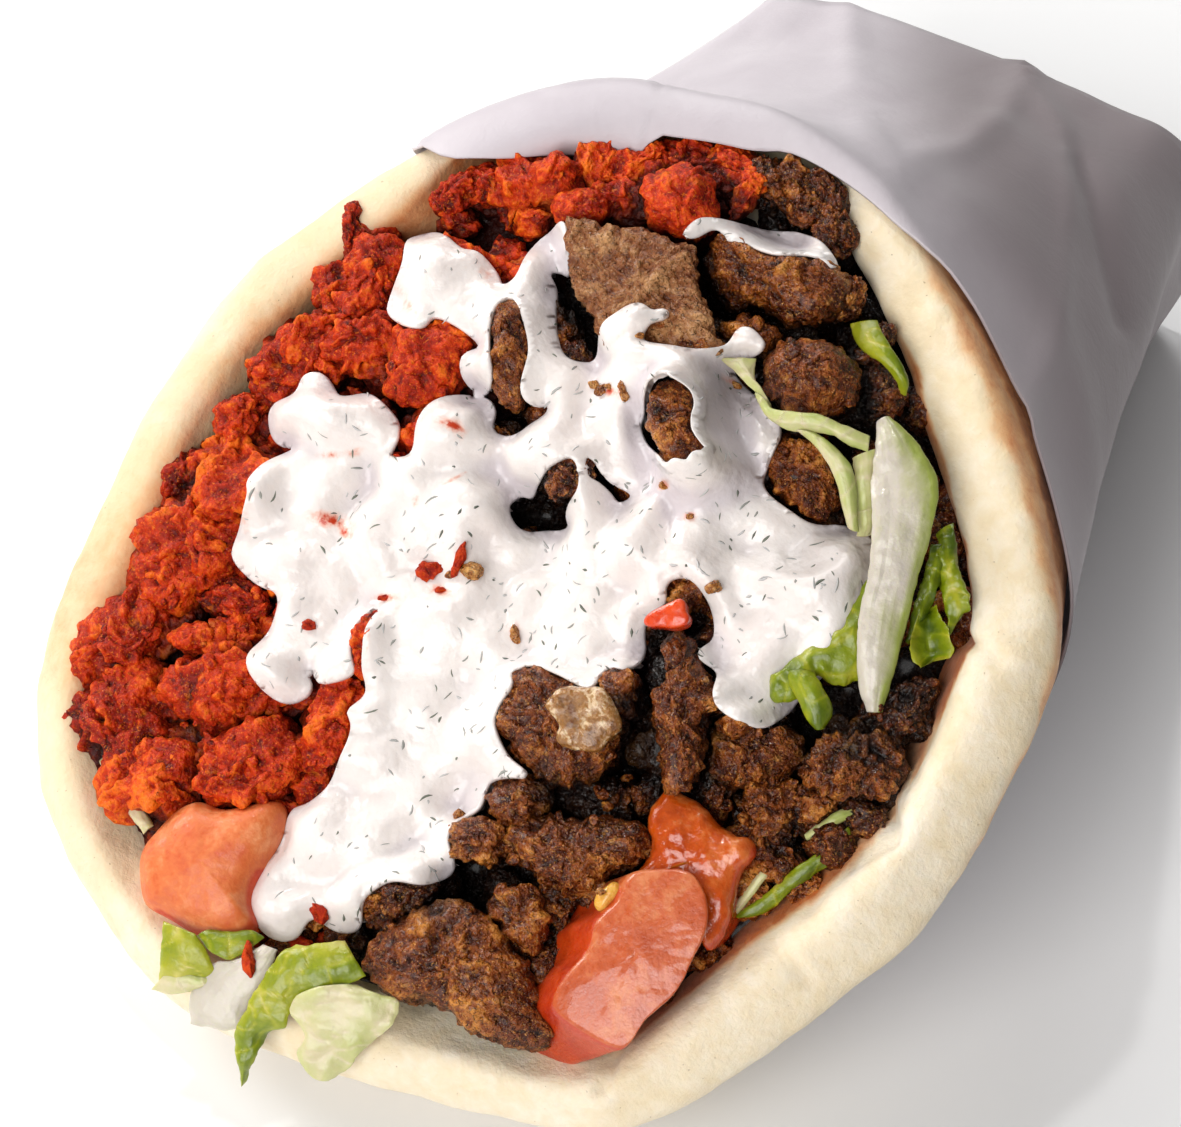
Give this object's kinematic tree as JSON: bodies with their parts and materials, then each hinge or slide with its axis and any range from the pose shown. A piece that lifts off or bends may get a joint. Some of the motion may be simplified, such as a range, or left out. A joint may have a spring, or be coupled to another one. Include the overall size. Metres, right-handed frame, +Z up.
{
  "type": "doner kebab sandwich",
  "caption": "A doner kebab sandwich: thick flatbread rolled into a cone round spiced chicken, doner meat, white herb sauce, tomato and lettuce, wrapped at the back in white paper.",
  "frame": {"origin": "on the flat underside of the paper wrap, on the sandwich's middle line, below the middle of its length", "axes": "+Z up, +Y from the bread's open mouth to the closed end of the wrap, +X to the right when looking into the mouth"},
  "size_m": [0.1169, 0.1748, 0.0749],
  "materials": {
    "bread": "matte, griddled flatbread with toasted edges",
    "paper": "white greaseproof paper, slightly waxy",
    "chicken": "moist chopped chicken, spiced red",
    "doner_meat": "browned doner meat, moist with fat",
    "sauce": "thick white herb sauce, glossy",
    "tomato": "cut tomato, wet",
    "pepper": "red pepper, glossy",
    "onion": "cooked onion, translucent",
    "corn": "cooked yellow pepper, glossy",
    "lettuce": "fresh green lettuce",
    "lettuce_rib": "pale lettuce rib"
  },
  "bodies": {
    "root": {"bread": "bread", "paper_wrap": "paper", "chicken_heap": "chicken", "beef_heap": "doner_meat", "beef_slab_top": "doner_meat", "beef_top_right": "doner_meat", "beef_round": "doner_meat", "beef_under_lettuce": "doner_meat", "beef_mid": "doner_meat", "beef_ridge": "doner_meat", "beef_pit": "doner_meat", "beef_long": "doner_meat", "beef_onion_bed": "doner_meat", "beef_onion_side": "doner_meat", "beef_notch": "doner_meat", "beef_upright": "doner_meat", "beef_middle": "doner_meat", "beef_rim_right": "doner_meat", "beef_dark_right": "doner_meat", "beef_by_tomato": "doner_meat", "beef_left_mid": "doner_meat", "beef_broad": "doner_meat", "beef_low_mid": "doner_meat", "beef_tongue": "doner_meat", "beef_slab_front": "doner_meat", "chicken_tall": "chicken", "chicken_upper": "chicken", "chicken_shelf": "chicken", "chicken_side": "chicken", "chicken_wing": "chicken", "chicken_corner": "chicken", "chicken_edge": "chicken", "chicken_red_low": "chicken", "chicken_front": "chicken", "chicken_sauce_side": "chicken", "chicken_middle": "chicken", "chicken_back_big": "chicken", "chicken_back_left": "chicken", "chicken_coated_top": "chicken", "chicken_coated_mid": "chicken", "chicken_coated_right": "chicken", "lettuce_rib": "lettuce_rib", "lettuce_curl": "lettuce", "lettuce_top": "lettuce", "lettuce_low": "lettuce", "lettuce_low_pale": "lettuce", "lettuce_right": "lettuce", "lettuce_front": "lettuce", "lettuce_lip_green": "lettuce", "lettuce_lip_pale": "lettuce", "lettuce_lip_yellow": "lettuce", "sauce": "sauce", "corn_bit": "corn", "onion_bit": "onion", "pepper_bit": "pepper", "tomato_back": "tomato", "tomato_front": "tomato", "tomato_left": "tomato"}
  },
  "joints": []
}
